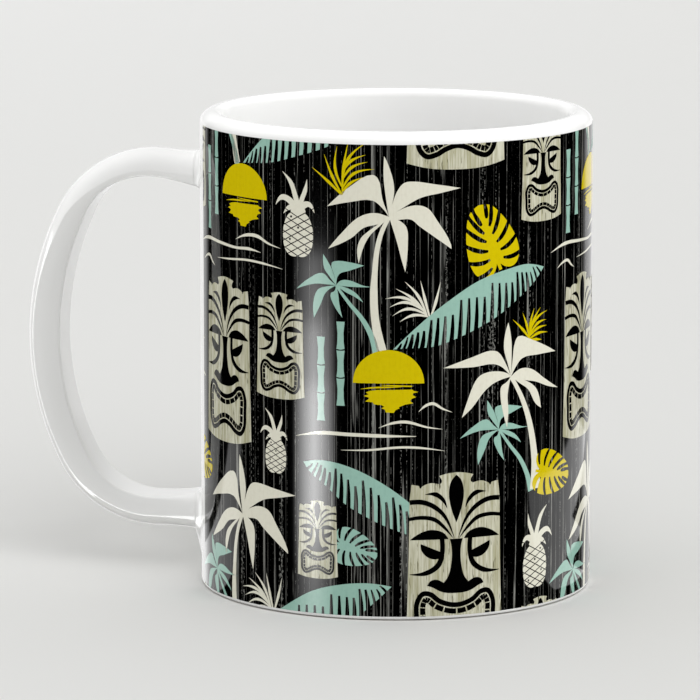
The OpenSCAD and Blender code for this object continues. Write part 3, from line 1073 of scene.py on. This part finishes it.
def wood_ink():
    """Pale weathered wood, printed: upright grain, olive stains and short dark checks."""
    shader = Shader("wood_ink", Roughness=0.08, **INK_GLOSS)
    u, v = shader.unrolled()
    grain = shader.noise(u * 2.2, v * 0.10, 4.0, 0.6)
    band = shader.noise(u * 0.5 + 11, v * 0.05, 2.0)
    check = shader.noise(u * 2.1 + 5, v * 0.16, 3.0, 0.7)
    tone = shader.mix(shader.over(grain, 0.34, 0.66), paint(172, 169, 143), paint(208, 207, 188))
    tone = shader.mix(shader.over(band, 0.48, 0.72) * 0.55, tone, paint(157, 154, 118))
    tone = shader.mix(shader.over(check, 0.61, 0.69) * 0.85, tone, paint(84, 80, 52))
    return shader.set(Base_Color=tone)


def backdrop_grey_and_painted_light():
    """Studio grey with painted light on it: the colour is a little lighter up the wall and to the left,
    standing in for brighter light there.
    """
    shader = Shader("backdrop_grey_and_painted_light", Roughness=0.8, Specular_IOR_Level=0.1)
    x, y, z = shader.split(shader.places())
    # painted light: paler further back and up the wall than on the floor in front
    tone = shader.mix(shader.over(y, -200, 1500), paint(232, 232, 230), paint(238, 238, 237))
    # painted shade: darker towards the right
    tone = shader.mix(shader.over(x, -500, 100) * 0.8, tone, paint(230, 230, 228))
    return shader.set(Base_Color=tone)


# ---- the mug

white = glaze("white_glaze", paint(239, 239, 238), 0.06)
slip = glaze("joint_glaze", paint(238, 238, 237), 0.07)
make_cup(white)
make_handle(white)
make_joint("upper", HANDLE_TOP - ROOT_DROP, 90, TOP_ARM, TOP_FALL, upper_reach, slip)
make_joint("lower", HANDLE_BOTTOM, -90, LOW_ARM, LOW_FALL, lower_reach, slip)

INKS = {
    "bone": (flat_ink("bone_ink", paint(223, 221, 205), paint(216, 213, 196)), "print_bone"),
    "teal": (flat_ink("teal_ink", paint(150, 188, 174), paint(142, 180, 166)), "print_teal"),
    "mustard": (flat_ink("mustard_ink", paint(207, 187, 6), paint(199, 178, 4)), "print_mustard"),
    "wood": (wood_ink(), "print_wood"),
    "charcoal": (flat_ink("charcoal_ink", paint(1, 1, 1), paint(4, 4, 4)), "print_charcoal"),
}

make_ground(ground_ink())
for name, drawing, ink, *place in MOTIFS:
    print_motif(name, drawing, INKS[ink], *place)
for name, centre, foot, width, height in TIKIS:
    share = (width / TIKI_W, height / TIKI_H)
    print_motif(name + "_panel", tiki_panel(*share), INKS["wood"], 3, (centre, foot))
    print_motif(name + "_face", tiki_face(*share), INKS["charcoal"], 4, (centre, foot))


# ---- floor, light and camera

def make_stage():
    """A pale floor that sweeps up into the wall behind."""
    wide, deep, tall = 6.0, 5.0, 2.5
    back, sweep_r, steps = 1.5, 0.8, 12
    below = 0.0002                        # how far under the foot the floor lies
    deselect()
    bpy.ops.mesh.primitive_plane_add(size=1)
    floor = bpy.context.object
    floor.scale = (wide, deep, 1)
    floor.location = (0, back - deep / 2, -below)
    bpy.ops.object.transform_apply(location=True, scale=True)
    bpy.ops.object.mode_set(mode="EDIT")
    bpy.ops.mesh.select_mode(type="EDGE")
    bpy.ops.mesh.select_all(action="DESELECT")
    rim = bmesh.from_edit_mesh(floor.data)
    for edge in rim.edges:
        edge.select = all(v.co.y > back - 0.1 for v in edge.verts)
    sweep = arc(0, 0, sweep_r, sweep_r, -90, 0, steps)
    for (y, z), (next_y, next_z) in zip(sweep, sweep[1:]):
        bpy.ops.mesh.extrude_region_move(TRANSFORM_OT_translate={"value": (0, next_y - y, next_z - z)})
    bpy.ops.mesh.extrude_region_move(TRANSFORM_OT_translate={"value": (0, 0, tall)})
    bpy.ops.mesh.select_all(action="SELECT")
    bpy.ops.object.mode_set(mode="OBJECT")
    bpy.ops.object.shade_smooth()
    floor.name = "studio_floor"
    floor.data.materials.append(backdrop_grey_and_painted_light())
    floor.visible_glossy = False
    STAGE.objects.link(floor)


def light_panel(name, at, aim, size, power, lit, sees="all", shadow=True):
    """A soft panel of light that faces its aim and lights one collection. Places and sizes are in metres.

    What it sees is "all", or only "paint", which it lights without showing in its gloss, or only "gloss".
    """
    data = bpy.data.lights.new(name, "AREA")
    data.shape = "RECTANGLE"
    data.size, data.size_y = size
    data.energy, data.use_shadow = power, shadow
    panel = bpy.data.objects.new(name, data)
    bpy.context.collection.objects.link(panel)
    panel.location = at
    panel.rotation_euler = (Vector(aim) - Vector(at)).to_track_quat("-Z", "Y").to_euler()
    panel.visible_camera = False
    panel.visible_diffuse = sees != "gloss"
    panel.visible_glossy = sees != "paint"
    panel.light_linking.receiver_collection = lit
    return panel


AIR = 0.7                                 # how bright the even light is
WINDOW_WAY = math.radians(100.5)          # where the studio's bright end lies, round from the X axis
WINDOW_OUT, WINDOW_IN = math.radians(39), math.radians(29)  # its half width, where it starts and is full
TABLE_BRIGHT, WALL_BRIGHT = 0.95, 0.5


def make_air():
    """Even light from all round. Gloss sees only the bright end of the studio, behind the mug."""
    world = bpy.data.worlds.new("studio_air")
    world.use_nodes = True
    air = Nodes(world.node_tree)
    way = air.node("ShaderNodeTexCoord", output="Generated")
    bright = air.over(air.split(way)[2], -0.05, 0.12, TABLE_BRIGHT, WALL_BRIGHT)
    end = (math.cos(WINDOW_WAY), math.sin(WINDOW_WAY), 0)
    near = air.node("ShaderNodeVectorMath", {"operation": "DOT_PRODUCT"}, {0: way, 1: end}, "Value")
    window = air.over(near, math.cos(WINDOW_OUT), math.cos(WINDOW_IN), 0.0, bright)
    gloss = air.node("ShaderNodeLightPath", output="Is Glossy Ray")
    strength = air.node("ShaderNodeMix", None, {0: gloss, 2: AIR, 3: window})
    air.feed(air.tree.nodes["Background"], {"Color": (1.0, 1.0, 1.0, 1.0), "Strength": strength})
    bpy.context.scene.world = world


def make_strip():
    """The tall soft highlight on the print: three panels that overlap, so that its ends fade out."""
    away, turn = 0.44, math.radians(-127.7)
    x, y = away * math.cos(turn), away * math.sin(turn)
    for low, high, share in ((-0.066, -0.025, 0.4), (-0.075, -0.008, 0.35), (-0.1, 0.012, 0.25)):
        middle, tall = (low + high) / 2, high - low
        at, aim = (x, y, middle), (0, 0, middle + 0.08)
        strip = light_panel("strip_panel", at, aim, (0.3, tall), 0.32 * share * tall, PRINT, "gloss", False)
        strip.data.spread = math.radians(27)


def make_glow():
    """The bright parts of the table, as the gloss of the print and of the handle's lower arm sees them."""
    # name, place on the table, size, brightness, and what it lights
    for name, x, y, wide, deep, bright, lit in (
        ("left_glow", -0.115, -0.0025, 0.17, 0.041, 1.1, PRINT),
        ("near_glow", 0.1025, 0.0, 0.115, 0.024, 1.4, PRINT),
        ("middle_glow", 0.113, 0.031, 0.094, 0.038, 1.4, PRINT),
        ("far_glow", 0.125, 0.105, 0.07, 0.11, 1.4, PRINT),
        ("arm_glow", -0.062, -0.017, 0.04, 0.02, 8.0, LOOP),
    ):
        power = bright * math.pi * wide * deep
        glow = light_panel(name, (x, y, 0.0005), (x, y, 1), (wide, deep), power, lit, "gloss")
        glow.rotation_euler = (math.pi, 0, 0)


def make_light():
    make_air()
    # name, place, size, power, what it lights, and where it has them what that sees and whether it shadows
    for name, at, size, power, *how in (
        ("top_panel", (-0.3, 0.35, 1.0), (0.6, 0.6), 5.0, FACE),
        ("loop_panel", (-0.3, 0.35, 1.0), (0.6, 0.6), 5.4, LOOP, "paint"),
        ("right_panel", (1.2, 0.0, 0.5), (0.8, 0.8), 6.0, MUG, "paint"),
        ("front_panel", (0.15, -0.4, 0.75), (0.4, 0.4), 2.5, FACE, "paint"),
        ("left_panel", (-1.2, 0.25, 0.4), (0.8, 0.8), 3.2, MUG, "paint"),
        ("crown_panel", (-0.8, -0.45, 0.6), (0.5, 0.5), 1.8, LOOP, "paint"),
        ("low_panel", (-0.3, -0.3, -0.3), (0.4, 0.4), 0.3, LOOP, "paint", False),
        ("edge_panel", (-0.6, -0.02, -0.15), (0.6, 0.7), 5.5, LOOP, "gloss", False),
    ):
        light_panel(name, at, (0, 0, 0.05), size, power, *how)
    make_strip()
    make_glow()
    data = bpy.data.lights.new("backdrop_light", "SUN")
    data.energy, data.angle = 1.2, math.radians(50)
    sky = bpy.data.objects.new("backdrop_light", data)
    bpy.context.collection.objects.link(sky)
    sky.rotation_euler = Vector((-0.4, 0.6, -0.69)).to_track_quat("-Z", "Y").to_euler()
    sky.visible_glossy = False
    sky.light_linking.receiver_collection = STAGE


def make_camera():
    """The camera stands 11 degrees to the right of straight on and looks slightly down."""
    distance, turn, height = 1.00262, math.radians(11), 0.2178
    data = bpy.data.cameras.new("camera")
    data.sensor_width, data.lens = 36, 255.37
    data.clip_end = 20
    camera = bpy.data.objects.new("camera", data)
    bpy.context.collection.objects.link(camera)
    camera.location = (distance * math.sin(turn), -distance * math.cos(turn), height)
    forward = Vector((-0.19716, 0.96599, -0.16733))
    camera.rotation_euler = forward.to_track_quat("-Z", "Y").to_euler()
    bpy.context.scene.camera = camera


make_stage()
make_light()
make_camera()
bpy.context.scene.view_settings.view_transform = "Standard"
